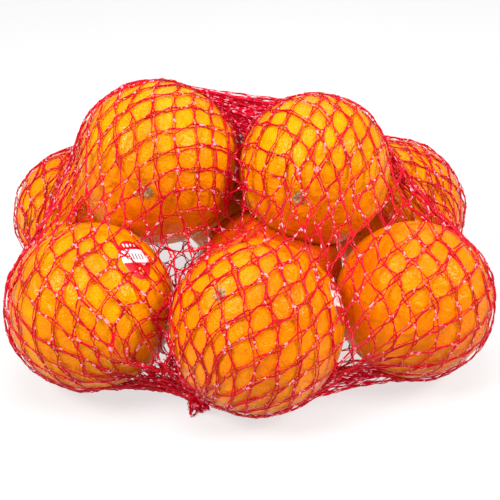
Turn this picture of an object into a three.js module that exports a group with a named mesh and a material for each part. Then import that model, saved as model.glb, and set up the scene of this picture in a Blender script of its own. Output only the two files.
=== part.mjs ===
// A closed net bag of nine oranges, lying as it is put down: seven fruit on the surface, two on top.
// The bag is one closed solid with the outer form of the taut net: it bulges over every fruit, spans the
// valleys between them, and is gathered to a tied tail low at the front and another high at the back.
// Units are millimetres, +Z is up, and the front of the bag faces -Y.
import * as THREE from "three";

// Driving dimensions -------------------------------------------------------------------------------------
// Centres and radii of the fruit that the net touches. Those without z lie on the surface. The ninth fruit
// lies in the middle of the others and never meets the net.
const ORANGES = {
  front_left: { x: -68.8, y: -47.0, radius: 39.3 },
  front_middle: { x: 9.0, y: -65.4, radius: 40.0 },
  front_right: { x: 83.7, y: -39.4, radius: 37.6 },
  back_left: { x: -86.3, y: 48.6, radius: 36.6 },
  back_middle: { x: 4.3, y: 65.1, radius: 40.5 },
  back_right: { x: 83.3, y: 47.4, radius: 39.5 },
  top_left: { x: -40.2, y: 12.1, z: 84.0, radius: 40.8 },
  top_right: { x: 37.4, y: 5.0, z: 83.5, radius: 37.4 },
};
const FLAT_SPOT_DEPTH = 0.8; // how far the lowest fruit are pressed flat where they stand
const NET_THICKNESS = 0.9; // the knitted net stands this far off the peel

const COLUMNS = 80; // facets round the bag
const END_CROWDING = 0.3; // facets are this much closer together at the bag's left and right ends
const BODY_RINGS = 52; // facet rings between the two gathers
const RELAX_STEPS = 400; // enough for the net to come to rest
const VALLEY_RADIUS = 19; // how sharply the drawn net turns where it spans from fruit to fruit
const UNDERSIDE = -0.62; // below this slope the net lies on the surface instead of being drawn in
const PLEAT_COUNT = 16; // folds that run out of each gather
const PLEAT_DEPTH = 0.1; // of the local distance, at the gather itself
const PLEAT_REACH = 34; // the folds have died away this far from the gather

// The two gathers: where the net is pinched, which way its tail points, and the tail's size.
const FRONT_TIE = {
  at: new THREE.Vector3(-18.7, -74.9, 4.2),
  tail: new THREE.Vector3(0.03, -1, -0.08).normalize(),
  pinchRadius: 2.6,
  tailLength: 8.5,
};
const BACK_TIE = {
  at: new THREE.Vector3(8.8, 40.6, 107.5),
  tail: new THREE.Vector3(0.2, 0.8, -0.9).normalize(),
  pinchRadius: 3.4,
  tailLength: 22,
};
const TAIL_RINGS = 4;
const TAIL_FLARE = 1.5; // the frayed end is this much wider than the pinch
const FRAY_COUNT = 8; // tufts round the frayed end
const FRAY_DEPTH = 0.28;

// The fruit ----------------------------------------------------------------------------------------------
const spheres = Object.values(ORANGES).map(({ x, y, z, radius }) => ({
  centre: new THREE.Vector3(x, y, z ?? radius - FLAT_SPOT_DEPTH),
  reach: radius + NET_THICKNESS,
}));

// The net ------------------------------------------------------------------------------------------------
// Every point of the net lies on a ray from the bag's middle, halfway between the gathers, so the net is
// one distance for each ray. Columns of rays run from gather to gather and start at the bag's left.
const middle = FRONT_TIE.at.clone().lerp(BACK_TIE.at, 0.5);
const axis = BACK_TIE.at.clone().sub(FRONT_TIE.at).normalize();
const across = new THREE.Vector3(-1, 0, 0).addScaledVector(axis, axis.x).normalize();
const over = new THREE.Vector3().crossVectors(axis, across).normalize();
const tieDistance = FRONT_TIE.at.distanceTo(middle);

function spoke(column) {
  const even = (2 * Math.PI * column) / COLUMNS;
  const turn = even - 0.5 * END_CROWDING * Math.sin(2 * even);
  return across
    .clone()
    .multiplyScalar(Math.cos(turn))
    .addScaledVector(over, Math.sin(turn));
}

// How far along a ray from the middle the ray leaves the last fruit that it meets.
function fruitDistance(direction) {
  let farthest = 0;
  for (const { centre, reach } of spheres) {
    const toCentre = centre.clone().sub(middle);
    const along = toCentre.dot(direction);
    const gap = toCentre.lengthSq() - along * along;
    if (gap < reach * reach && along > 0) {
      farthest = Math.max(farthest, along + Math.sqrt(reach * reach - gap));
    }
  }
  return farthest;
}

function surfaceDistance(direction) {
  return direction.z < 0 ? -middle.z / direction.z : Infinity;
}

// The rays, in rings from the front gather to the back one.
function castRays() {
  const edge = Math.asin(FRONT_TIE.pinchRadius / tieDistance);
  return Array.from({ length: BODY_RINGS }, (_, ring) => {
    const angle = edge + ((Math.PI - 2 * edge) * ring) / (BODY_RINGS - 1);
    return Array.from({ length: COLUMNS }, (_, column) => {
      const direction = spoke(column)
        .multiplyScalar(Math.sin(angle))
        .addScaledVector(axis, -Math.cos(angle));
      const highest = surfaceDistance(direction);
      const lowest = Math.min(fruitDistance(direction), highest);
      const distance = Math.min(Math.max(lowest, tieDistance), highest);
      return { direction, lowest, highest, distance };
    });
  });
}

function pointOn({ direction, distance }) {
  return direction.clone().multiplyScalar(distance).add(middle);
}

// Draws the net tight. Each point goes towards the middle of its four neighbours, and a little further in,
// so that the net spans the valleys at VALLEY_RADIUS. It stays off the fruit and above the surface.
function drawTight(rays) {
  for (let step = 0; step < RELAX_STEPS; step++) {
    const points = rays.map((ring) => ring.map(pointOn));
    for (let ring = 1; ring < BODY_RINGS - 1; ring++) {
      for (let column = 0; column < COLUMNS; column++) {
        const ray = rays[ring][column];
        const here = points[ring][column];
        const around = [
          points[ring - 1][column],
          points[ring + 1][column],
          points[ring][(column + 1) % COLUMNS],
          points[ring][(column + COLUMNS - 1) % COLUMNS],
        ];
        let spacing = 0;
        let along = 0;
        for (const point of around) {
          spacing += point.distanceToSquared(here) / around.length;
          along += point.clone().sub(middle).dot(ray.direction) / around.length;
        }
        const drawnIn = ray.direction.z > UNDERSIDE ? spacing / (4 * VALLEY_RADIUS) : 0;
        const wanted = Math.max(along - drawnIn, ray.lowest);
        ray.distance = Math.min(wanted, ray.highest);
      }
    }
  }
  return rays;
}

// Folds that run out of the gathers and die away over PLEAT_REACH.
function addPleats(rays) {
  for (const ring of rays.slice(1, -1)) {
    ring.forEach((ray, column) => {
      const point = pointOn(ray);
      const wave = 0.5 + 0.5 * Math.cos((2 * Math.PI * PLEAT_COUNT * column) / COLUMNS);
      for (const tie of [FRONT_TIE, BACK_TIE]) {
        const near = Math.max(0, 1 - point.distanceTo(tie.at) / PLEAT_REACH);
        const folded = ray.distance * (1 - PLEAT_DEPTH * near * near * wave);
        ray.distance = Math.max(folded, ray.lowest);
      }
    });
  }
  return rays;
}

// The tied tail beyond a gather: it swells to a frayed end.
function tailRings(tie) {
  return Array.from({ length: TAIL_RINGS }, (_, index) => {
    const share = (index + 1) / TAIL_RINGS;
    const swell = 1 + (TAIL_FLARE - 1) * Math.sin((share * Math.PI) / 2);
    const centre = tie.at.clone().addScaledVector(tie.tail, share * tie.tailLength);
    return Array.from({ length: COLUMNS }, (_, column) => {
      const tuft = Math.cos((2 * Math.PI * FRAY_COUNT * column) / COLUMNS);
      const radius = tie.pinchRadius * swell * (1 + FRAY_DEPTH * share * tuft);
      const out = spoke(column);
      out.addScaledVector(tie.tail, -out.dot(tie.tail)).normalize();
      const point = centre.clone().addScaledVector(out, radius);
      point.z = Math.max(point.z, 0);
      return point;
    });
  });
}

// The solid ----------------------------------------------------------------------------------------------
function centreOf(ring) {
  return ring
    .reduce((sum, point) => sum.add(point), new THREE.Vector3())
    .divideScalar(ring.length);
}

// Skins a stack of rings, and closes each end with a fan.
function skin(rings) {
  const points = [...rings.flat(), centreOf(rings[0]), centreOf(rings.at(-1))];
  const first = points.length - 2;
  const last = points.length - 1;
  const faces = [];
  for (let column = 0; column < COLUMNS; column++) {
    const next = (column + 1) % COLUMNS;
    faces.push(first, next, column);
    for (let ring = 0; ring < rings.length - 1; ring++) {
      const low = ring * COLUMNS;
      const high = low + COLUMNS;
      faces.push(low + column, high + next, high + column);
      faces.push(low + column, low + next, high + next);
    }
    const end = (rings.length - 1) * COLUMNS;
    faces.push(last, end + column, end + next);
  }
  const geometry = new THREE.BufferGeometry();
  geometry.setAttribute(
    "position",
    new THREE.Float32BufferAttribute(points.flatMap((point) => point.toArray()), 3),
  );
  geometry.setIndex(faces);
  geometry.computeVertexNormals();
  return geometry;
}

const body = addPleats(drawTight(castRays())).map((ring) => ring.map(pointOn));
const bag = new THREE.Mesh(
  skin([...tailRings(FRONT_TIE).reverse(), ...body, ...tailRings(BACK_TIE)]),
  new THREE.MeshStandardMaterial({ color: 0xf0600f, roughness: 0.5, metalness: 0 }),
);
bag.name = "net_bag";

// The origin is at the middle of the bag's base.
bag.geometry.computeBoundingBox();
const box = bag.geometry.boundingBox;
bag.position.set(-(box.min.x + box.max.x) / 2, -(box.min.y + box.max.y) / 2, -box.min.z);

const group = new THREE.Group();
group.add(bag);

export default group;
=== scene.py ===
"""A net of nine oranges on a pale table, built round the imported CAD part.

The fruit are modelled one by one. The net is knitted from two families of double threads and laid by a
small simulation: it starts as a tube on the CAD solid, its ends are pulled into the two gathers, and it
comes to rest on the fruit and the table. Where it is bunched up, more threads lie side by side over it.
All lengths are in millimetres until a mesh is made.
"""
import math

import bmesh
import bpy
import numpy as np
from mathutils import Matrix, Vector
from mathutils.bvhtree import BVHTree


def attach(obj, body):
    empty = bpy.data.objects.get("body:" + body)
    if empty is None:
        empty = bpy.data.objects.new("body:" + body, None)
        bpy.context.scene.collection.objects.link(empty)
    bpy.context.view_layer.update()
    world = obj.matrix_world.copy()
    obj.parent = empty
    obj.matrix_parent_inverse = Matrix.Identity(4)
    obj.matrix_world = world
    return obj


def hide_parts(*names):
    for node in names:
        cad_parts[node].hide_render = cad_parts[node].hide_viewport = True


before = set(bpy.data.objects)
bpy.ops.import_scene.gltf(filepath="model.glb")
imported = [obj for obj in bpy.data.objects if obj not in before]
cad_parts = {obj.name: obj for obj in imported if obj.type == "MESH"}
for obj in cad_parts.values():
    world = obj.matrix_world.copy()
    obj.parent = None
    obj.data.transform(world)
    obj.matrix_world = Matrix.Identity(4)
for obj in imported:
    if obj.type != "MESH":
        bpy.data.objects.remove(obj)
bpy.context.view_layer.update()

MM = 0.001
scene = bpy.context.scene

# The fruit: middle, radius, the way the stem end points, and a share from ripe orange (0) to yellow (1).
ORANGES = {
    "front_left": dict(at=(-68.8, -47.0, 38.5), radius=39.3, stem=(-0.62, 0.7, -0.35), yellow=0.8),
    "front_middle": dict(at=(9.0, -65.4, 39.2), radius=40.0, stem=(-0.417, -0.496, 0.762), yellow=0.15),
    "front_right": dict(at=(83.7, -39.4, 36.8), radius=37.6, stem=(0.8, 0.55, -0.2), yellow=0.4),
    "back_left": dict(at=(-86.3, 48.6, 35.8), radius=36.6, stem=(-0.5, 0.8, -0.3), yellow=0.5),
    "back_middle": dict(at=(4.3, 65.1, 39.7), radius=40.5, stem=(0.3, 0.9, 0.2), yellow=0.5),
    "back_right": dict(at=(83.3, 47.4, 38.7), radius=39.5, stem=(0.6, 0.75, 0.1), yellow=0.4),
    "top_left": dict(at=(-40.2, 12.1, 84.0), radius=40.8, stem=(-0.059, -0.993, 0.1), yellow=0.9),
    "top_right": dict(at=(37.4, 5.0, 83.5), radius=37.4, stem=(-0.255, -0.965, 0.063), yellow=1.1),
}
CENTRES = np.array([o["at"] for o in ORANGES.values()])
RADII = np.array([o["radius"] for o in ORANGES.values()])
# The ninth lies in the middle, pressed between the others, and never meets the net. Its yellow share below
# zero is painted shade: a redder peel for the shade it lies in.
MIDDLE_ORANGE = dict(at=(15.5, -8.0, 33.3), radius=34.4, stem=(0, 0.2, -1), yellow=-1.4)
MIDDLE_STRETCH = np.array([1.08, 1.0, 1.0])  # it is squashed a little wider than it is high
MIDDLE_PAINTED_SHADE = 0.74  # painted shade: its whole peel is darkened to this share, for the shade it lies in
MIDDLE_GAP = 0.3  # and it stays this far off the others

# The net, as it is knitted.
COLUMNS = 60  # meshes round the tube
ROWS = 34  # crossings from end to end
EDGE = 11.5  # from crossing to crossing, drawn straight
EDGE_SPREAD = 0.04  # how uneven the knitting is
KNOT = np.array([-18.7, -74.9, 4.2])  # the front gather
GATHER = np.array([8.8, 49.0, 100.5])  # the back gather
START_POLE = np.array([-25.0, -70.0, 15.0])  # where the front end of the tube is before it is pulled out
TWIST = math.radians(17)  # how far the tube is turned from end to end
CROWDING = 0.4  # how much closer its columns are at the bag's two sides than at its front and back
FRONT_SKEW = 4  # this many more rows are caught in the front tie at the front of the bag than under it


def unit(v):
    v = np.asarray(v, float)
    return v / np.maximum(np.linalg.norm(v, axis=-1, keepdims=True), 1e-9)


def axes_of(direction):
    """Two directions square to this one and to each other."""
    direction = unit(direction)
    first = unit(np.array([1.0, 0, 0]) - direction * direction[0])
    return first, np.cross(direction, first)


def make_mesh(name, points, faces):
    """A smooth-shaded object. Points are in millimetres, and faces are all triangles or all quads."""
    mesh = bpy.data.meshes.new(name)
    mesh.vertices.add(len(points))
    mesh.vertices.foreach_set("co", (np.asarray(points, float) * MM).ravel())
    corners = faces.shape[1]
    mesh.loops.add(faces.size)
    mesh.loops.foreach_set("vertex_index", faces.ravel().astype(np.int32))
    mesh.polygons.add(len(faces))
    mesh.polygons.foreach_set("loop_start", np.arange(0, faces.size, corners, dtype=np.int32))
    mesh.update(calc_edges=True)
    mesh.validate()
    mesh.polygons.foreach_set("use_smooth", np.ones(len(mesh.polygons), bool))
    obj = bpy.data.objects.new(name, mesh)
    scene.collection.objects.link(obj)
    return obj


def place(obj, material):
    obj.data.materials.clear()
    obj.data.materials.append(material)
    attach(obj, "root")
    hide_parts("net_bag")


# Materials ----------------------------------------------------------------------------------------------
PORE_TINT = (0.66, 0.15, 0.003, 1)
STEM_END_TINT = (0.66, 0.25, 0.012, 1)  # paler and greener than the rest of the peel
SPECK_BROWN = (0.13, 0.05, 0.012, 1)
FLECK_AND_GLINT_PINK = (0.88, 0.36, 0.46, 1)  # paler where a thread has stretched, and a painted highlight where it would catch the lights
WOOD_TONES = (0.16, 0.07, 0.025), (0.42, 0.24, 0.09), (0.62, 0.44, 0.24)


def node_maker(material):
    tree = material.node_tree

    def add(kind, inputs=None, **settings):
        node = tree.nodes.new(kind)
        for key, value in settings.items():
            setattr(node, key, value)
        for key, value in (inputs or {}).items():
            if isinstance(value, bpy.types.NodeSocket):
                tree.links.new(value, node.inputs[key])
            else:
                node.inputs[key].default_value = value
        return node

    return add


def new_material(name):
    material = bpy.data.materials.new(name)
    material.use_nodes = True
    shader = material.node_tree.nodes["Principled BSDF"]
    return material, node_maker(material), shader, material.node_tree.links


def ramp(add, value, stops):
    node = add("ShaderNodeValToRGB", {"Fac": value})
    elements, stops = node.color_ramp.elements, list(stops)
    while len(elements) < len(stops):
        elements.new(0.5)
    for element, (position, colour) in zip(elements, stops):
        element.position = position
        element.color = (*colour, 1)
    return node.outputs["Color"]


def grey(v):
    return (v, v, v)


def mixed(add, share, first, second, blend="MIX"):
    """One colour blended into another."""
    inputs = {0: share, 6: first, 7: second}
    return add("ShaderNodeMix", inputs, data_type="RGBA", blend_type=blend).outputs[2]


def bumped(add, height, strength, distance, normal=None):
    """A bump, on top of another one where its normal is given."""
    inputs = {"Height": height, "Strength": strength, "Distance": distance}
    if normal is not None:
        inputs["Normal"] = normal
    return add("ShaderNodeBump", inputs).outputs["Normal"]


def peel_material(name, number, yellow, depth=1.0):
    """Pored citrus peel. Every fruit has its own stretch of the same patterns."""
    material, add, shader, links = new_material(name)
    where = add("ShaderNodeTexCoord").outputs["Object"]
    shift = (0.31 * number, 0.17 * number, -0.23 * number)
    spot = add("ShaderNodeVectorMath", {0: where, 1: shift}).outputs["Vector"]
    blotch = add("ShaderNodeTexNoise", {"Vector": spot, "Scale": 26.0, "Detail": 3.0}).outputs["Fac"]
    mottle = add("ShaderNodeTexNoise", {"Vector": spot, "Scale": 210.0, "Detail": 4.0, "Roughness": 0.6})
    # A depth below 1 is painted shade: it darkens the whole peel of a fruit that lies in shade.
    deep = (0.82 * depth, (0.155 + 0.05 * yellow) * depth, 0.001)
    light = (0.92 * depth, (0.245 + 0.09 * yellow) * depth, 0.001)
    base = ramp(add, blotch, [(0.32, deep), (0.62, light)])
    shade = ramp(add, mottle.outputs["Fac"], [(0.3, grey(0.86)), (0.65, grey(1.0))])
    mottled = mixed(add, 1.0, base, shade, "MULTIPLY")
    # Pores: little pits, a bit darker than the peel between them.
    bend = {0: 0.0012, 4: spot, 5: mottle.outputs["Color"]}
    bent = add("ShaderNodeMix", bend, data_type="VECTOR").outputs[1]
    pores = add("ShaderNodeTexVoronoi", {"Vector": bent, "Scale": 780.0, "Randomness": 1.0})
    pit = ramp(add, pores.outputs["Distance"], [(0.08, grey(0.0)), (0.42, grey(1.0))])
    pore_tint = mixed(add, pit, PORE_TINT, (1, 1, 1, 1))
    pored = mixed(add, 0.10, mottled, pore_tint, "MULTIPLY")
    stem = add("ShaderNodeAttribute", attribute_name="stem").outputs["Fac"]
    tinted = mixed(add, stem, pored, STEM_END_TINT)
    # A few brown specks, only where the blotches are palest.
    spots = add("ShaderNodeTexVoronoi", {"Vector": spot, "Scale": 95.0, "Randomness": 1.0})
    speck = ramp(add, spots.outputs["Distance"], [(0.035, grey(1.0)), (0.07, grey(0.0))])
    sparse = ramp(add, blotch, [(0.56, grey(0.0)), (0.60, grey(1.0))])
    speck = add("ShaderNodeMath", {0: speck, 1: sparse}, operation="MULTIPLY").outputs[0]
    speck = add("ShaderNodeMath", {0: speck, 1: 0.75}, operation="MULTIPLY").outputs[0]
    links.new(mixed(add, speck, tinted, SPECK_BROWN), shader.inputs["Base Color"])
    # The peel is wavy, then rough, then pitted.
    wave = {"Vector": spot, "Scale": 120.0, "Detail": 2.0, "Distortion": 0.6}
    ripple = add("ShaderNodeTexNoise", wave).outputs["Fac"]
    wavy = bumped(add, ripple, 1.0, 0.0024)
    rough = bumped(add, mottle.outputs["Fac"], 0.6, 0.0008, wavy)
    links.new(bumped(add, pit, 0.7, 0.0003, rough), shader.inputs["Normal"])
    shader.inputs["Roughness"].default_value = 0.19
    shader.inputs["Specular IOR Level"].default_value = 0.18
    shader.inputs["Specular Tint"].default_value = (1.0, 0.85, 0.35, 1)
    shader.inputs["Subsurface Weight"].default_value = 0.2
    shader.inputs["Subsurface Radius"].default_value = (1.0, 0.25, 0.05)
    shader.inputs["Subsurface Scale"].default_value = 0.005
    return material


# The last argument sets a glow that is painted light.
def net_material(name, colour, fleck_and_glint_share, through):
    """Red polythene thread: glossy, with pale flecks that are partly stretched thread and partly painted
    highlight, and darker in some stretches than in others.
    """
    material, add, shader, links = new_material(name)
    where = add("ShaderNodeTexCoord").outputs["Object"]
    fine = add("ShaderNodeTexNoise", {"Vector": where, "Scale": 420.0, "Detail": 2.0})
    tone = add("ShaderNodeTexNoise", {"Vector": where, "Scale": 60.0, "Detail": 2.0})
    dark = tuple(0.78 * c for c in colour)
    base = ramp(add, tone.outputs["Fac"], [(0.35, dark), (0.6, colour)])
    # The flecks are partly painted highlight: glints where a flat thread would face the lights.
    edge = 0.5 + 0.3 * (0.5 - fleck_and_glint_share)
    fleck = ramp(add, fine.outputs["Fac"], [(edge - 0.02, grey(0.0)), (edge + 0.02, grey(1.0))])
    links.new(mixed(add, fleck, base, FLECK_AND_GLINT_PINK), shader.inputs["Base Color"])
    shader.inputs["Roughness"].default_value = 0.3
    shader.inputs["Specular IOR Level"].default_value = 0.14
    # Painted light: a faint glow lifts the threads out of their shade. It stands in for light that the
    # polythene lets pass, mostly where it is bunched up.
    shader.inputs["Emission Color"].default_value = (*colour, 1)
    shader.inputs["Emission Strength"].default_value = through
    return material


def plain_material(name, colour, roughness):
    material, _, shader, _ = new_material(name)
    shader.inputs["Base Color"].default_value = (*colour, 1)
    shader.inputs["Roughness"].default_value = roughness
    return material


def woody_material(name):
    material, add, shader, links = new_material(name)
    where = add("ShaderNodeTexCoord").outputs["Object"]
    noise = add("ShaderNodeTexNoise", {"Vector": where, "Scale": 900.0, "Detail": 4.0})
    tone = ramp(add, noise.outputs["Fac"], zip((0.35, 0.52, 0.68), WOOD_TONES))
    links.new(tone, shader.inputs["Base Color"])
    links.new(bumped(add, noise.outputs["Fac"], 0.8, 0.0004), shader.inputs["Normal"])
    shader.inputs["Roughness"].default_value = 0.75
    return material


def label_material(name):
    material, add, shader, links = new_material(name)
    colour = add("ShaderNodeAttribute", attribute_name="print").outputs["Color"]
    links.new(colour, shader.inputs["Base Color"])
    shader.inputs["Roughness"].default_value = 0.32
    return material


# The fruit ----------------------------------------------------------------------------------------------
def waves(directions, rng, count, low, high):
    """A smooth pattern over a sphere, from 0 to 1."""
    total = np.zeros(len(directions))
    for _ in range(count):
        wave = unit(rng.normal(size=3)) * rng.uniform(low, high)
        total += np.sin(directions @ wave + rng.uniform(0, 2 * np.pi))
    return np.clip(0.5 + 0.5 * total / math.sqrt(count), 0, 1)


def hollow(angle, depth, width):
    """How deep a round hollow is at an angle from its middle."""
    return depth * np.exp(-((angle / width) ** 2))


def ball():
    bm = bmesh.new()
    bmesh.ops.create_icosphere(bm, subdivisions=6, radius=1.0)
    points = np.array([v.co for v in bm.verts])
    faces = np.array([[v.index for v in f.verts] for f in bm.faces])
    bm.free()
    return unit(points), faces


def make_orange(name, number, spec, ball_points, faces, material):
    rng = np.random.default_rng(100 + number)
    centre, radius, stem = np.array(spec["at"]), spec["radius"], unit(spec["stem"])
    along = ball_points @ stem
    depth = 0.5 * waves(ball_points, rng, 5, 1.5, 3.5) + 0.25 * waves(ball_points, rng, 8, 5, 10)
    depth += 0.35 * np.abs(along) ** 2  # a little flatter at its two ends
    # A dimple with grooves round it at the stem, and a small one at the other end.
    off_stem = np.degrees(np.arccos(np.clip(along, -1, 1)))
    side, other = axes_of(stem)
    turn = np.arctan2(ball_points @ other, ball_points @ side)
    grooves = 0.5 + 0.5 * np.cos(9 * turn + 0.8 * np.sin(2 * turn))
    depth += hollow(off_stem, 1.3, 8.0)
    depth += hollow(off_stem - 9.0, 0.28 * grooves, 6.0)
    depth += hollow(180 - off_stem, 0.5, 5.0)
    points = centre + ball_points * (radius - depth)[:, None]
    # Pressed flat where it stands and where it meets its neighbours.
    points[:, 2] = np.maximum(points[:, 2], 0.0)
    for other_centre, other_radius in zip(CENTRES, RADII):
        apart = np.linalg.norm(other_centre - centre)
        if 0 < apart < radius + other_radius:
            normal = (other_centre - centre) / apart
            limit = (apart + radius - other_radius) / 2
            beyond = np.maximum((points - centre) @ normal - limit, 0)
            points -= beyond[:, None] * normal
    obj = make_mesh("orange_" + name, points - centre, faces)
    obj.location = Vector(centre * MM)
    tint = obj.data.attributes.new("stem", "FLOAT", "POINT")
    ring = hollow(off_stem, 0.8, 7.0) * (0.55 + 0.45 * grooves)
    tint.data.foreach_set("value", ring.astype(np.float32))
    place(obj, material)
    return obj


def fit_between(obj, spec, stretch, gap):
    """Dents a fruit so that it lies clear of all the others: its points move towards its middle."""
    centre, mesh = np.array(spec["at"]), obj.data
    points = np.empty(len(mesh.vertices) * 3, np.float32)
    mesh.vertices.foreach_get("co", points)
    points = points.reshape(-1, 3).astype(float) / MM * stretch
    reach, ways = np.linalg.norm(points, axis=1), unit(points)
    for other_centre, other_radius in zip(CENTRES, RADII + gap):
        to_other = other_centre - centre
        along = ways @ to_other
        inside = other_radius**2 - (to_other @ to_other - along**2)
        entry = along - np.sqrt(np.maximum(inside, 0))
        reach = np.where((inside > 0) & (along > 0), np.minimum(reach, entry), reach)
    mesh.vertices.foreach_set("co", (ways * reach[:, None] * MM).ravel())
    mesh.update()


STEM_RINGS, STEM_SPOKES = 10, 60
STEM_RADIUS = 3.3
STEM_SINK = 1.55  # the button sits this far inside the fruit's radius, down in its dimple


def stem_height(share, rng):
    """The button's height at a share of its radius: domed, with a raised ring and a sunk middle."""
    dome = 0.55 * math.cos(share * math.pi / 2) ** 0.5
    raised = 0.25 * math.exp(-(((share - 0.62) / 0.12) ** 2))
    sunk = 0.45 * math.exp(-((share / 0.3) ** 2))
    return dome + raised - sunk + 0.12 * rng.uniform(-1, 1, STEM_SPOKES)


def make_stem(name, number, spec, material):
    """The dry button where the stem came off: a rough star-shaped disc in a shallow dimple."""
    rng = np.random.default_rng(300 + number)
    centre, stem = np.array(spec["at"]), unit(spec["stem"])
    side, other = axes_of(stem)
    angle = np.arange(STEM_SPOKES) * 2 * np.pi / STEM_SPOKES
    edge = 1 + 0.13 * np.cos(5 * angle + rng.uniform(0, 6)) + 0.06 * np.cos(11 * angle + rng.uniform(0, 6))
    outward = side * np.cos(angle)[:, None] + other * np.sin(angle)[:, None]
    points = []
    for ring in range(1, STEM_RINGS + 1):
        share = ring / STEM_RINGS
        out = STEM_RADIUS * share * (1 + (edge - 1) * share)
        height = stem_height(share, rng)
        if ring == STEM_RINGS:
            height = np.full(STEM_SPOKES, -0.9)
        points.append(stem * (spec["radius"] - STEM_SINK + height)[:, None] + outward * out[:, None])
    points.append([stem * (spec["radius"] - STEM_SINK + 0.1)])
    points.append([stem * (spec["radius"] - STEM_SINK - 1.05)])
    top, bottom = STEM_RINGS * STEM_SPOKES, STEM_RINGS * STEM_SPOKES + 1
    last = (STEM_RINGS - 1) * STEM_SPOKES
    faces = []
    for i in range(STEM_SPOKES):
        j = (i + 1) % STEM_SPOKES
        faces.append((i, j, top))
        for a in range(0, last, STEM_SPOKES):
            b = a + STEM_SPOKES
            faces += [(a + i, b + i, b + j), (a + i, b + j, a + j)]
        faces.append((last + j, last + i, bottom))
    obj = make_mesh("stem_" + name, np.concatenate(points), np.array(faces))
    obj.location = Vector(centre * MM)
    place(obj, material)


# The stickers -------------------------------------------------------------------------------------------
WHITE, RED = (0.84, 0.80, 0.80), (0.56, 0.004, 0.014)
DARK, YELLOW = (0.30, 0.14, 0.17), (0.78, 0.50, 0.08)
LABEL_HALF_WIDTH, LABEL_HALF_HEIGHT = 7.6, 10.6
LABEL_RINGS, LABEL_SPOKES = 44, 120
LABEL_LIFT = 0.12  # off the peel
LABEL_SKIRT = 0.9  # the sticker's rim goes this far down into the peel


def label_print(u, v):
    """Plain fields of colour, with a row of bars, a row of blocks and a ring.

    u and v go from -1 to 1 across and up the sticker.
    """
    colour = np.where(((v > 0.46) | (v < -0.22))[..., None], RED, WHITE)
    bars = (np.abs(v - 0.08) < 0.16) & (np.abs(u) < 0.66) & (np.sin(u * 27) > 0)
    colour = np.where(bars[..., None], DARK, colour)
    marks = (np.abs(v - 0.68) < 0.09) & (np.abs(u) < 0.5) & (np.sin(u * 23) > 0.1)
    colour = np.where(marks[..., None], WHITE, colour)
    dot = np.hypot(u - 0.05, v + 0.62)
    colour = np.where(((dot < 0.17) & (dot > 0.09))[..., None], YELLOW, colour)
    return colour


def make_label(name, spec, direction, up, material):
    """An oval sticker that follows the peel."""
    centre, middle = np.array(spec["at"]), unit(direction)
    up = unit(np.array(up) - middle * (np.array(up) @ middle))
    right = np.cross(up, middle)
    share = np.linspace(0, 1, LABEL_RINGS + 1)[1:, None]
    angle = (np.arange(LABEL_SPOKES) * 2 * np.pi / LABEL_SPOKES)[None, :]
    u, v = share * np.cos(angle), share * np.sin(angle)
    u, v = np.append(u.ravel(), 0), np.append(v.ravel(), 0)
    x, y = u * LABEL_HALF_WIDTH, v * LABEL_HALF_HEIGHT
    span = np.hypot(x, y) + 1e-9
    bend = span / spec["radius"]
    way = (right * x[:, None] + up * y[:, None]) / span[:, None]
    normal = middle * np.cos(bend)[:, None] + way * np.sin(bend)[:, None]
    points = normal * (spec["radius"] + LABEL_LIFT - 0.02 * (np.hypot(u, v) > 0.98))[:, None]
    hub, last, skirt = LABEL_RINGS * LABEL_SPOKES, (LABEL_RINGS - 1) * LABEL_SPOKES, len(points)
    points = np.concatenate([points, points[last:hub] * (1 - LABEL_SKIRT / spec["radius"])])
    faces = []
    for i in range(LABEL_SPOKES):
        j = (i + 1) % LABEL_SPOKES
        faces.append((hub, i, j))
        for a in range(0, last, LABEL_SPOKES):
            b = a + LABEL_SPOKES
            faces += [(a + i, b + i, b + j), (a + i, b + j, a + j)]
        faces += [(last + i, skirt + i, skirt + j), (last + i, skirt + j, last + j)]
    obj = make_mesh("label_" + name, points, np.array(faces))
    obj.location = Vector(centre * MM)
    colours = np.concatenate([label_print(u, v), np.tile(WHITE, (LABEL_SPOKES, 1))])
    colours = np.hstack([colours, np.ones((len(colours), 1))])
    layer = obj.data.color_attributes.new("print", "FLOAT_COLOR", "POINT")
    layer.data.foreach_set("color", colours.ravel().astype(np.float32))
    place(obj, material)


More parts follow.
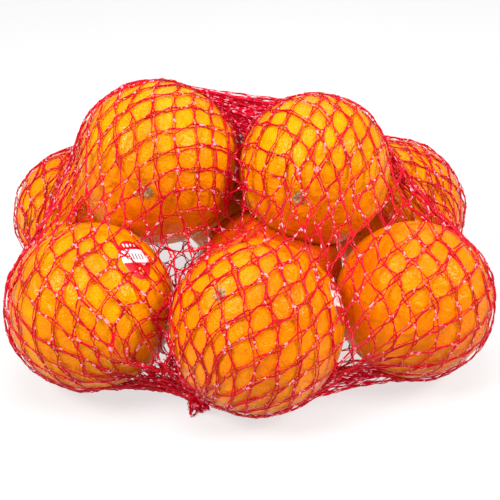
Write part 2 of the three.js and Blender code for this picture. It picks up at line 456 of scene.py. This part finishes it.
# The net's rest shape -----------------------------------------------------------------------------------
class Skin:
    """The CAD solid's surface, as one distance for each direction from a point inside it."""

    AROUND, ALONG = 120, 121  # directions in the table
    MISSED = 60.0  # the distance taken where a ray slips between two faces
    EASE = 0.6  # the net may stand this far outside the solid near the table
    FREE = 12.0  # and this much farther from FREE_FROM upwards, over a rise of FREE_OVER
    FREE_FROM, FREE_OVER = 20.0, 20.0

    def __init__(self, origin, axis):
        self.origin, self.axis = origin, unit(axis)
        self.first, self.second = axes_of(axis)
        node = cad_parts["net_bag"]
        tree = BVHTree.FromPolygons(
            [v.co / MM for v in node.data.vertices], [p.vertices[:] for p in node.data.polygons]
        )
        self.table = np.zeros((self.AROUND, self.ALONG))
        for i in range(self.AROUND):
            for k in range(self.ALONG):
                out = self.direction(i * 2 * np.pi / self.AROUND, k * np.pi / (self.ALONG - 1))
                hit = tree.ray_cast(Vector(origin), Vector(out))[3]
                self.table[i, k] = hit if hit else self.MISSED

    def direction(self, turn, polar):
        turn, polar = np.asarray(turn)[..., None], np.asarray(polar)[..., None]
        flat = np.cos(turn) * self.first + np.sin(turn) * self.second
        return np.sin(polar) * flat - np.cos(polar) * self.axis

    def distance(self, turn, polar):
        i = (turn / (2 * np.pi) * self.AROUND) % self.AROUND
        k = np.clip(polar / np.pi * (self.ALONG - 1), 0, self.ALONG - 1.001)
        i0, k0 = np.floor(i).astype(int), np.floor(k).astype(int)
        i1, a, b = (i0 + 1) % self.AROUND, i - i0, k - k0
        i0 = i0 % self.AROUND
        low = self.table[i0, k0] * (1 - b) + self.table[i0, k0 + 1] * b
        high = self.table[i1, k0] * (1 - b) + self.table[i1, k0 + 1] * b
        return low * (1 - a) + high * a

    def keep_inside(self, points):
        """Draws points in to the solid, closely near the table and loosely higher up."""
        margin = self.EASE + self.FREE * np.clip((points[..., 2] - self.FREE_FROM) / self.FREE_OVER, 0, 1)
        away = points - self.origin
        reach = np.linalg.norm(away, axis=-1)
        polar = np.arccos(np.clip(-(away @ self.axis) / np.maximum(reach, 1e-6), -1, 1))
        turn = np.arctan2(away @ self.second, away @ self.first)
        limit = self.distance(turn, polar) + margin
        shrink = np.minimum(1, limit / np.maximum(reach, 1e-6))
        return self.origin + away * shrink[..., None]


def tube_on_skin(skin):
    """The knitted tube drawn over the CAD solid, its crossings evenly spaced from pole to pole."""
    polar = np.linspace(0.02, np.pi - 0.02, 161)
    net = np.zeros((ROWS + 1, COLUMNS, 3))
    for row in range(ROWS + 1):
        share = row / ROWS
        for column in range(COLUMNS):
            turn = 2 * np.pi * (column + 0.5 * (row % 2)) / COLUMNS
            turn += TWIST * (share - 0.5) - 0.5 * CROWDING * math.sin(2 * turn)
            line = skin.origin + skin.direction(turn, polar) * skin.distance(turn, polar)[:, None]
            run = np.concatenate([[0], np.cumsum(np.linalg.norm(np.diff(line, axis=0), axis=1))])
            net[row, column] = [np.interp(share * run[-1], run, line[:, k]) for k in range(3)]
    return net


def end_ring(centre, axis, radius, phase=0.0):
    first, second = axes_of(axis)
    turn = (2 * np.pi * np.arange(COLUMNS) / COLUMNS + phase)[:, None]
    return centre + radius * (np.cos(turn) * first + np.sin(turn) * second)


# The edges of the net, in four lots in which no two edges share a crossing: the rows that the edges start
# from, their family, and how far the next row is rolled to bring their far ends in line.
LINKS = [
    (np.arange(parity, ROWS, 2), family, roll)
    for parity, rolls in ((0, (0, 1)), (1, (-1, 0)))
    for family, roll in enumerate(rolls)
]


def clear_of_fruit(points, before, gap, grip):
    """Moves points out of the fruit and off the table, and lets both hold them back."""
    for centre, radius in zip(CENTRES, RADII):
        away = points - centre
        reach = np.linalg.norm(away, axis=-1)
        sunk = radius + gap - reach
        inside = sunk > 0
        if inside.any():
            normal = away[inside] / reach[inside][:, None]
            points[inside] += normal * sunk[inside][:, None]
            if grip:
                slid = points[inside] - before[inside]
                slid -= normal * np.sum(slid * normal, axis=1)[:, None]
                length = np.linalg.norm(slid, axis=1) + 1e-9
                points[inside] -= slid * np.minimum(1, grip * sunk[inside] / length)[:, None]
    low = points[..., 2] < gap
    if low.any():
        depth = gap - points[low][:, 2]
        resting = points[low]
        if grip:
            slid = resting[:, :2] - before[low][:, :2]
            length = np.linalg.norm(slid, axis=1) + 1e-9
            resting[:, :2] -= slid * np.minimum(1, grip * depth / length)[:, None]
        resting[:, 2] = gap
        points[low] = resting
    return points


NET_GAP = 0.5  # between the middle of the net and the peel or the table
GRIP = 0.3  # friction of both
FOLLOW = 0.9  # the share of a step's movement that goes on in the next
SAG = 0.02  # how far the net falls in a step
SHRINK = 0.06  # how hard an edge pulls when it is longer than its snug length
EASE_OUT = 0.02  # and pushes when it is shorter
UNEVEN = 0.45  # how far each crossing ends up off its place
# The steps, the sweeps over all edges in each, and how far the front end is pulled out from first to last.
STAGES = ((100, 6, 0, 0), (250, 8, 0, 1), (150, 8, 1, 1))


def snug_lengths():
    """The share of its length that an edge draws in to, row by row: least at the net's two ends."""
    snug = np.full((ROWS, 1), 0.84)
    snug[:4] = 0.45
    snug[-6:] = 0.5
    return snug


def lay_net():
    """Pulls the tube's ends into the gathers and lets the net come to rest."""
    rng = np.random.default_rng(4)
    skin = Skin((START_POLE + GATHER) / 2, GATHER - START_POLE)
    net = tube_on_skin(skin)
    rest = EDGE * (1 + EDGE_SPREAD * rng.standard_normal((2, ROWS, COLUMNS)))
    snug = snug_lengths()
    start = end_ring(START_POLE + [0, 0, 3], (0, -0.2, 1), 2.6)
    knot = end_ring(KNOT, (0.1, 0.6, 0.25), 2.4)
    gather = end_ring(GATHER, GATHER - START_POLE, 3.0, TWIST)
    # How many rows the front tie has caught, column by column: more at the front of the bag than under it.
    facing = np.clip(-np.sin(2 * np.pi * np.arange(COLUMNS) / COLUMNS), 0, 1)
    caught = np.round(FRONT_SKEW * facing)
    before = net.copy()
    for steps, sweeps, first, last in STAGES:
        for step in range(steps):
            moved = net + FOLLOW * (net - before)
            before = net.copy()
            net = moved
            net[..., 2] -= SAG
            pulled = first + (last - first) * (step + 1) / steps
            for _ in range(sweeps):
                for rows, family, roll in LINKS:
                    near, far = net[rows], np.roll(net[rows + 1], roll, axis=1)
                    link = far - near
                    length = np.linalg.norm(link, axis=2) + 1e-9
                    # No edge gets longer than it was knitted, and it draws in gently to its snug length.
                    stretched = (length - rest[family][rows]) / length
                    loose = (length - rest[family][rows] * snug[rows]) / length
                    gentle = np.where(loose > 0, SHRINK * loose, EASE_OUT * loose)
                    give = np.where(stretched > 0, stretched, gentle)
                    move = 0.5 * give[..., None] * link
                    net[rows] = near + move
                    net[rows + 1] = np.roll(far - move, -roll, axis=1)
                net = clear_of_fruit(skin.keep_inside(net), before, NET_GAP, GRIP)
                ring = start + (knot - start) * pulled
                for row in range(FRONT_SKEW + 1):
                    held = caught * pulled >= row
                    net[row][held] = ring[held]
                net[ROWS] = gather
    uneven = net.copy()
    uneven[1:-1] += UNEVEN * rng.standard_normal(net[1:-1].shape)
    return clear_of_fruit(uneven, net, NET_GAP, 0)


# The threads --------------------------------------------------------------------------------------------
STEPS = 7  # pieces of thread from crossing to crossing
OPEN = 1.25  # the two threads of a strand are this far off its middle at a crossing
CLOSED, USUAL, MOST = 0.24, 0.38, 0.9  # and halfway between crossings: the least, the usual and the most
HALF_WIDTH, HALF_THICKNESS = 0.40, 0.20  # of one thread
LIFT = 0.24  # one strand passes over the other at a crossing
PEEL_GAP = 0.24  # from a thread's middle line to the peel
SWAY, PUFF, JITTER = 0.30, 0.30, 0.12  # how far threads wander: a strand sideways and up, and one thread


def off_fruit(paths, gap):
    """Moves points out of the fruit, until they are this far off the peel."""
    for centre, radius in zip(CENTRES, RADII):
        away = paths - centre
        reach = np.linalg.norm(away, axis=-1)
        paths = centre + away * (np.maximum(reach, radius + gap) / reach)[..., None]
    return paths


def crossing_normals(net):
    """At each crossing: the net's outward normal, and the sine of the angle between the strands."""
    up_a, up_b = np.zeros_like(net), np.zeros_like(net)
    for rows, family, roll in LINKS:
        link = np.roll(net[rows + 1], roll, axis=1) - net[rows]
        ups = (up_a, up_b)[family]
        ups[rows] += link
        ups[rows + 1] += np.roll(link, -roll, axis=1)
    cross = np.cross(unit(up_a), unit(up_b))
    sine = np.linalg.norm(cross, axis=-1)
    middle = CENTRES.mean(axis=0)
    outward = unit(net - middle)
    if np.sum(cross * outward) < 0:
        cross = -cross
    # Near a fruit the net faces away from it, and everywhere it leans a little outward.
    gaps = np.linalg.norm(net[..., None, :] - CENTRES, axis=-1) - RADII
    nearest = gaps.argmin(axis=-1)
    fruit = unit(net - CENTRES[nearest])
    closeness = np.clip(1 - gaps.min(axis=-1) / 6, 0, 1)[..., None]
    normal = unit(cross + 0.8 * closeness * fruit + 0.15 * outward)
    return normal, sine


def family_index(family):
    """For each strand of a family, the column of its crossing in every row."""
    rows = np.arange(ROWS + 1)
    drift = rows // 2 if family == 0 else -((rows + 1) // 2)
    return (np.arange(COLUMNS)[:, None] + drift[None, :]) % COLUMNS


def spline(nodes, steps):
    """A smooth line through each chain of nodes."""
    before, after = 2 * nodes[:, :1] - nodes[:, 1:2], 2 * nodes[:, -1:] - nodes[:, -2:-1]
    padded = np.concatenate([before, nodes, after], axis=1)
    p0, p1, p2, p3 = (padded[:, i : i + nodes.shape[1] - 1] for i in range(4))
    t = (np.arange(steps) / steps)[None, None, :, None]
    p0, p1, p2, p3 = (p[:, :, None, :] for p in (p0, p1, p2, p3))
    m1, m2 = 0.4 * (p2 - p0), 0.4 * (p3 - p1)
    leaving = (2 * t**3 - 3 * t**2 + 1) * p1 + (t**3 - 2 * t**2 + t) * m1
    line = leaving + (3 * t**2 - 2 * t**3) * p2 + (t**3 - t**2) * m2
    flat = line.reshape(len(nodes), -1, nodes.shape[2])
    return np.concatenate([flat, nodes[:, -1:]], axis=1)


def straight(values, steps):
    """Values at crossings, drawn out along the thread."""
    t = np.arange(steps) / steps
    inner = values[:, :-1, None] * (1 - t) + values[:, 1:, None] * t
    return np.concatenate([inner.reshape(len(values), -1), values[:, -1:]], axis=1)


def wander(rng, chains, samples, knots):
    """A smooth random line for each thread."""
    marks = rng.standard_normal((chains, knots))
    at = np.linspace(0, knots - 1, samples)
    return np.array([np.interp(at, np.arange(knots), row) for row in marks])


def thread_paths(net):
    """The middle lines of all threads: family, strand, thread, sample."""
    rng = np.random.default_rng(11)
    normal, sine = crossing_normals(net)
    rows = np.arange(ROWS + 1)
    over = np.where(rng.random((ROWS + 1, COLUMNS)) < 0.5, -1.0, 1.0)
    paths, normals = [], []
    for family in (0, 1):
        index = family_index(family)
        nodes, up = net[rows, index], normal[rows, index]
        line = spline(nodes, STEPS)
        up = unit(spline(up, STEPS))
        tangent = unit(np.gradient(line, axis=1))
        side = unit(np.cross(tangent, up))
        samples = line.shape[1]
        t = (np.arange(samples) % STEPS) / STEPS
        # The two threads part towards a crossing, the wider the more squarely the strands meet there.
        spread = OPEN * rng.uniform(0.7, 1.25, index.shape) * np.clip(sine[rows, index], 0.12, 1) ** 0.8
        ends = np.clip(1.35 * np.abs(1 - 2 * t) - 0.35, 0, 1)[None, :]
        edge = np.minimum(np.arange(samples) // STEPS, ROWS - 1)
        closed = np.clip(rng.normal(USUAL, 0.2, (len(index), ROWS)), CLOSED, MOST)[:, edge]
        wide = closed + (straight(spread, STEPS) - closed) * ends
        # The two threads turn round each other by half turns in the middle of each edge.
        turns = rng.integers(0, 3, (len(index), ROWS))
        done = np.concatenate([np.zeros((len(index), 1)), np.cumsum(turns, axis=1)], axis=1)
        within = np.clip((t - 0.25) / 0.5, 0, 1)
        within = within * within * (3 - 2 * within)
        angle = np.pi * (done[:, edge] + turns[:, edge] * within[None, :])
        angle[:, -1] = np.pi * done[:, -1]
        crossing = straight(over[rows, index] * (1 - 2 * family), STEPS) * ends * LIFT
        sway = SWAY * wander(rng, len(index), samples, ROWS * 2)
        puff = np.clip(PUFF * wander(rng, len(index), samples, ROWS * 2), 0, 4 * PUFF)
        for sign in (1, -1):
            height = sign * np.minimum(wide, 2 * CLOSED) * np.sin(angle) + crossing + puff
            offset = side * (sign * wide * np.cos(angle) + sway)[..., None] + up * height[..., None]
            jitter = JITTER * wander(rng, len(index), samples, ROWS * 4)[..., None] * side
            path = off_fruit(line + offset + jitter, PEEL_GAP + np.clip(crossing, 0, 1))
            path[..., 2] = np.maximum(path[..., 2], HALF_WIDTH)
            paths.append(path)
            normals.append(up)
    return paths, normals


ROLL = 0.9  # how far a flat thread turns over, in radians
WIDTH_SPREAD = 0.18  # how uneven its width is
NARROWEST, WIDEST = 0.55, 1.5  # in shares of its usual width
LOWEST = 0.02  # nothing of a thread comes nearer the table than this


def make_tubes(name, paths, normals, half_width, half_thickness, material, seed, taper=False):
    """One mesh of flat four-sided threads along paths[thread, sample]."""
    rng = np.random.default_rng(seed)
    count, samples = paths.shape[:2]
    tangent = unit(np.gradient(paths, axis=1))
    side = unit(np.cross(tangent, normals))
    up = np.cross(side, tangent)
    roll = ROLL * wander(rng, count, samples, max(4, samples // 4))
    width = half_width * (1 + WIDTH_SPREAD * wander(rng, count, samples, max(4, samples // 5)))
    width = np.clip(width, NARROWEST * half_width, WIDEST * half_width)
    thickness = np.full_like(width, half_thickness)
    if taper:
        width = width * np.linspace(1, NARROWEST, samples)
    points = np.zeros((count, samples, 4, 3))
    for corner in range(4):
        turn = corner * np.pi / 2
        a = (width * math.cos(turn))[..., None]
        b = (thickness * math.sin(turn))[..., None]
        cos, sin = np.cos(roll)[..., None], np.sin(roll)[..., None]
        points[:, :, corner] = paths + side * (a * cos - b * sin) + up * (a * sin + b * cos)
    index = np.arange(count * samples * 4).reshape(count, samples, 4)
    following = np.roll(index, -1, axis=2)
    quads = np.stack([index[:, :-1], index[:, 1:], following[:, 1:], following[:, :-1]], axis=-1)
    quads = quads.reshape(-1, 4)
    caps = np.concatenate([index[:, 0], index[:, -1, ::-1]])
    points = points.reshape(-1, 3)
    points[:, 2] = np.maximum(points[:, 2], LOWEST)
    place(make_mesh(name, points, np.concatenate([quads[:, ::-1], caps])), material)


TUFTS = 9  # that the cut threads of a tail cling together in
TAIL_SAMPLES = 9
TAIL_HALF_WIDTH = 0.30


def make_tail(name, tie, direction, length, radius, flare, droop, count, material, seed):
    """The frayed end beyond a gather: cut threads in tufts. Every third tuft stays near the middle."""
    rng = np.random.default_rng(seed)
    direction = unit(direction)
    first, second = axes_of(direction)
    samples = TAIL_SAMPLES
    share = np.linspace(0, 1, samples)
    paths = np.zeros((count, samples, 3))
    tufts = 2 * np.pi * np.arange(TUFTS) / TUFTS + rng.normal(0, 0.35, TUFTS)
    tuft_reach = length * rng.uniform(0.5, 1.0, TUFTS)
    tuft_out = radius * flare * np.where(np.arange(TUFTS) % 3 == 2, 0.25, rng.uniform(0.6, 1.0, TUFTS))
    for i in range(count):
        turn = rng.uniform(0, 2 * np.pi)
        inner = radius * math.sqrt(rng.uniform(0.05, 1))
        tuft = i % TUFTS
        reach = tuft_reach[tuft] * rng.uniform(0.8, 1.05)
        outward = inner + (tuft_out[tuft] * rng.uniform(0.85, 1.15) - inner) * share**0.8
        bend = rng.normal(0, 0.05, 2)
        toward = (tufts[tuft] - turn + np.pi) % (2 * np.pi) - np.pi
        swirl = turn + toward * share + 0.1 * share * rng.normal()
        out = first * np.cos(swirl)[:, None] + second * np.sin(swirl)[:, None]
        paths[i] = tie + direction * (reach * share - 1.5 * (1 - share))[:, None] + out * outward[:, None]
        paths[i] += (first * bend[0] + second * bend[1]) * (reach * share**2)[:, None]
        paths[i, :, 2] -= droop * (reach * share) ** 2
        paths[i, :, 2] = np.maximum(paths[i, :, 2], 0.3)
    paths = off_fruit(paths, 0.4)
    normals = np.broadcast_to(first, paths.shape)
    make_tubes(name, paths, normals, TAIL_HALF_WIDTH, HALF_THICKNESS, material, seed + 1, taper=True)


WRAP_PITCH = 0.7
WRAP_HALF_WIDTH, WRAP_HALF_THICKNESS = 0.42, 0.3


def make_wrap(name, tie, axis, radius, turns, material, seed):
    """The tight turns of thread that hold a gather."""
    rng = np.random.default_rng(seed)
    first, second = axes_of(axis)
    samples = 40 * turns
    turn = np.linspace(0, 2 * np.pi * turns, samples)
    along = WRAP_PITCH * (turn / (2 * np.pi) - turns / 2)
    wobble = 0.12 * wander(rng, 1, samples, 6 * turns)[0]
    out = first * np.cos(turn)[:, None] + second * np.sin(turn)[:, None]
    path = tie + unit(axis) * along[:, None] + out * (radius + wobble)[:, None]
    path[:, 2] = np.maximum(path[:, 2], 0.4)
    make_tubes(name, path[None], out[None], WRAP_HALF_WIDTH, WRAP_HALF_THICKNESS, material, seed + 1)


BUNCH_SAMPLES = 56
BUNCH_GAP = 0.5  # from its threads' middle lines to the peel


def make_bunch(name, starts, ends, swing, material, seed):
    """Net bunched up: long threads side by side, each with a zigzag, that lie over the fruit."""
    rng = np.random.default_rng(seed)
    samples = BUNCH_SAMPLES
    share = np.linspace(0, 1, samples)[:, None]
    paths = []
    for start, end in zip(starts, ends):
        run = end - start
        outward = unit((start + end) / 2 - CENTRES.mean(axis=0))
        across = unit(np.cross(run, outward))
        beats = np.linalg.norm(run) * rng.uniform(0.09, 0.13)  # a zigzag every 8 to 11 mm
        zigzag = swing * np.sin(2 * np.pi * (share * beats + rng.uniform(0, 1)))
        line = start + run * share + across * (zigzag + 0.6 * swing * wander(rng, 1, samples, 12).T)
        line = line + outward * 0.5 * swing * wander(rng, 1, samples, 12).T
        paths.append(line)
    # Twice, because moving off one fruit can lead into the next.
    paths = off_fruit(off_fruit(np.array(paths), BUNCH_GAP), BUNCH_GAP)
    paths[..., 2] = np.maximum(paths[..., 2], HALF_WIDTH)
    normals = unit(paths - CENTRES.mean(axis=0))
    make_tubes(name, paths, normals, HALF_WIDTH, HALF_THICKNESS, material, seed + 1)


def scattered(rng, count, first, second, spread):
    """Points at random along a line, and a little off it."""
    share = rng.uniform(0, 1, (count, 1))
    return np.array(first) * (1 - share) + np.array(second) * share + spread * rng.normal(size=(count, 3))


def roof_ends(rng, fruit, way, leans):
    """Points high on one of the two top fruit, on the side that faces the other (way is 1 for +X)."""
    up, back = np.array([0, 0.5, 0.866]), np.array([0, 0.866, -0.5])
    lean = np.radians(leans)[:, None]
    behind = np.radians(rng.uniform(2, 26, len(leans)))[:, None]
    out = np.array([way, 0, 0]) * np.sin(lean) + up * np.cos(lean)
    out = out * np.cos(behind) + back * np.sin(behind)
    return np.array(fruit["at"]) + out * (fruit["radius"] + 0.6)


ROOF_OVERLAP = 0.22  # its threads run on past their ends, over the fruit, by this share of their length


def make_roof(name, left, right, count, material, seed):
    """The net bunched between the two top fruit. A thread that is deep at one end is deep at the other."""
    rng = np.random.default_rng(seed)
    depth = rng.uniform(0, 1, count)
    # In degrees down from the top of each fruit.
    low_left = 18 + 36 * np.clip(depth + rng.normal(0, 0.08, count), 0, 1)
    low_right = 22 + 40 * np.clip(depth + rng.normal(0, 0.08, count), 0, 1)
    starts = roof_ends(rng, left, 1, low_left)
    ends = roof_ends(rng, right, -1, low_right)
    beyond = ROOF_OVERLAP * (ends - starts)
    make_bunch(name, starts - beyond, ends + beyond, 0.9, material, seed + 1)


def make_folds(name, rng, count, start, end, swing, material, seed):
    """Bunched net from one line to another: each is given by its two ends and the spread about it."""
    starts = scattered(rng, count, *start)
    ends = scattered(rng, count, *end)
    make_bunch(name, starts, ends, swing, material, seed)


# Making it all ------------------------------------------------------------------------------------------
ball_points, ball_faces = ball()
stem_material = woody_material("woody_stem")
sticker_material = label_material("sticker")
for number, (name, spec) in enumerate(ORANGES.items()):
    peel = peel_material("peel_" + name, number, spec["yellow"])
    make_orange(name, number, spec, ball_points, ball_faces, peel)
    make_stem(name, number, spec, stem_material)

for name, direction, up in (
    ("front_left", (0.60, -0.20, 0.774), (-0.35, 0.75, 0.6)),
    ("front_middle", (0.93, -0.10, 0.40), (0.1, 0.6, 0.8)),
    ("back_middle", (-0.20, -0.25, 0.95), (0.3, 0.9, 0.3)),
):
    make_label(name, ORANGES[name], direction, up, sticker_material)

number = len(ORANGES)
# The middle fruit's peel is darker and redder than the others': painted shade.
peel = peel_material("peel_middle", number, MIDDLE_ORANGE["yellow"], MIDDLE_PAINTED_SHADE)
middle = make_orange("middle", number, MIDDLE_ORANGE, ball_points, ball_faces, peel)
fit_between(middle, MIDDLE_ORANGE, MIDDLE_STRETCH, MIDDLE_GAP)

paths, normals = thread_paths(lay_net())
# Painted light in the thread materials: all three glow faintly. The one for the ties and tails glows more
# than the plain red. The lighter copy for the bunched net on the roof and in the low folds glows most,
# which lifts that net out of its shade.
red = net_material("net_red", (0.60, 0.0012, 0.014), 0.06, 0.08)
painted_light_red = net_material("net_bright_red", (0.70, 0.003, 0.030), 0.2, 0.16)
tie_and_tail_red = net_material("net_dark_red", (0.60, 0.001, 0.014), 0.08, 0.12)
for number, (path, normal) in enumerate(zip(paths, normals)):
    make_tubes(f"net_threads_{number + 1}", path, normal, HALF_WIDTH, HALF_THICKNESS, red, 20 + number)

FRONT_TAIL, BACK_TAIL = (0.03, -1, -0.08), (0.2, 0.8, -0.9)  # the ways the two tails point
make_wrap("net_front_tie", KNOT, FRONT_TAIL, 2.3, 3, tie_and_tail_red, 41)
make_wrap("net_back_tie", GATHER, BACK_TAIL, 2.9, 4, tie_and_tail_red, 42)
make_tail("net_front_tail", KNOT, FRONT_TAIL, 8.0, 2.2, 2.4, 0.0, 130, tie_and_tail_red, 51)
make_tail("net_back_tail", GATHER, BACK_TAIL, 20.0, 2.6, 2.2, 0.004, 110, tie_and_tail_red, 52)

# The roof's bunched net takes the lighter, more glowing thread: painted light in its shade.
make_roof("net_roof_folds", ORANGES["top_left"], ORANGES["top_right"], 170, painted_light_red, 61)

FOLDS = {
    "net_front_folds": dict(
        count=70,
        start=((-50, -57, 2), (-30, -68, 24), 1.5),
        end=(KNOT + [-1.5, 0.5, 0], KNOT + [1.5, 1.5, 1], 0.6),
        swing=0.8,
        material=red,
        seed=72,
    ),
    "net_left_folds": dict(
        count=15,
        start=((-64, 40, 68), (-92, 62, 68), 2.0),
        end=((-96, 6, 24), (-102, 28, 20), 1.2),
        swing=2.0,
        material=red,
        seed=74,
    ),
    "net_right_folds": dict(
        count=22,
        start=((60, 34, 72), (92, 56, 74), 2.0),
        end=((96, 2, 26), (100, 24, 20), 1.2),
        swing=2.0,
        material=red,
        seed=76,
    ),
    # The low folds take the lighter, more glowing thread: painted light in their shade.
    "net_low_folds": dict(
        count=40,
        start=((36, -70, 1.5), (29, -58, 8), 1.0),
        end=((95, -51, 1.0), (66, -50, 7), 1.0),
        swing=0.9,
        material=painted_light_red,
        seed=78,
    ),
}
rng = np.random.default_rng(71)
for name, spec in FOLDS.items():
    make_folds(name, rng, **spec)

# The studio ---------------------------------------------------------------------------------------------
scene.view_settings.view_transform = "Standard"
FLOOR_HALF = 15.0  # metres, far enough for its edge to stay out of sight
floor = bpy.data.objects.new("floor", bpy.data.meshes.new("floor"))
corners = [(x * FLOOR_HALF, y * FLOOR_HALF, 0) for x, y in ((-1, -1), (1, -1), (1, 1), (-1, 1))]
floor.data.from_pydata(corners, [], [(0, 1, 2, 3)])
table = plain_material("pale_table", grey(0.22), 0.7)
# The table glows like the lit base of a product photo, so that shadows on it stay pale.
glow = table.node_tree.nodes["Principled BSDF"].inputs
glow["Emission Color"].default_value = (1, 1, 1, 1)
glow["Emission Strength"].default_value = 0.66
floor.data.materials.append(table)
scene.collection.objects.link(floor)

world = bpy.data.worlds.new("studio")
scene.world = world
world.use_nodes = True
world.node_tree.nodes["Background"].inputs["Color"].default_value = (1, 1, 1, 1)
world.node_tree.nodes["Background"].inputs["Strength"].default_value = 0.14

BAG_MIDDLE = Vector((0, 0, 0.06))
# Square soft lights: place and size in metres, and power in watts.
for name, at, size, power in (
    ("left", (-0.72, -0.42, 0.90), 0.45, 13.5),
    ("right", (0.82, -0.27, 0.80), 0.45, 11.5),
    ("top", (-0.05, -0.10, 1.10), 0.6, 7.4),
    ("front", (-0.10, -1.10, 0.75), 0.5, 2.0),
    ("back", (0.1, 0.9, 0.9), 0.8, 3.0),
):
    data = bpy.data.lights.new(name, "AREA")
    data.size = size
    data.energy = power
    lamp = bpy.data.objects.new(name, data)
    lamp.location = at
    lamp.rotation_euler = (BAG_MIDDLE - Vector(at)).to_track_quat("-Z", "Y").to_euler()
    scene.collection.objects.link(lamp)

camera = bpy.data.objects.new("camera", bpy.data.cameras.new("camera"))
camera.location = (0.0058, -0.44145, 0.29622)
camera.rotation_euler = (math.radians(60), 0, 0)  # pitched 30 degrees down
camera.data.lens = 72.14
camera.data.sensor_width = 36.0
camera.data.clip_start = 0.01
scene.collection.objects.link(camera)
scene.camera = camera

bpy.context.view_layer.update()
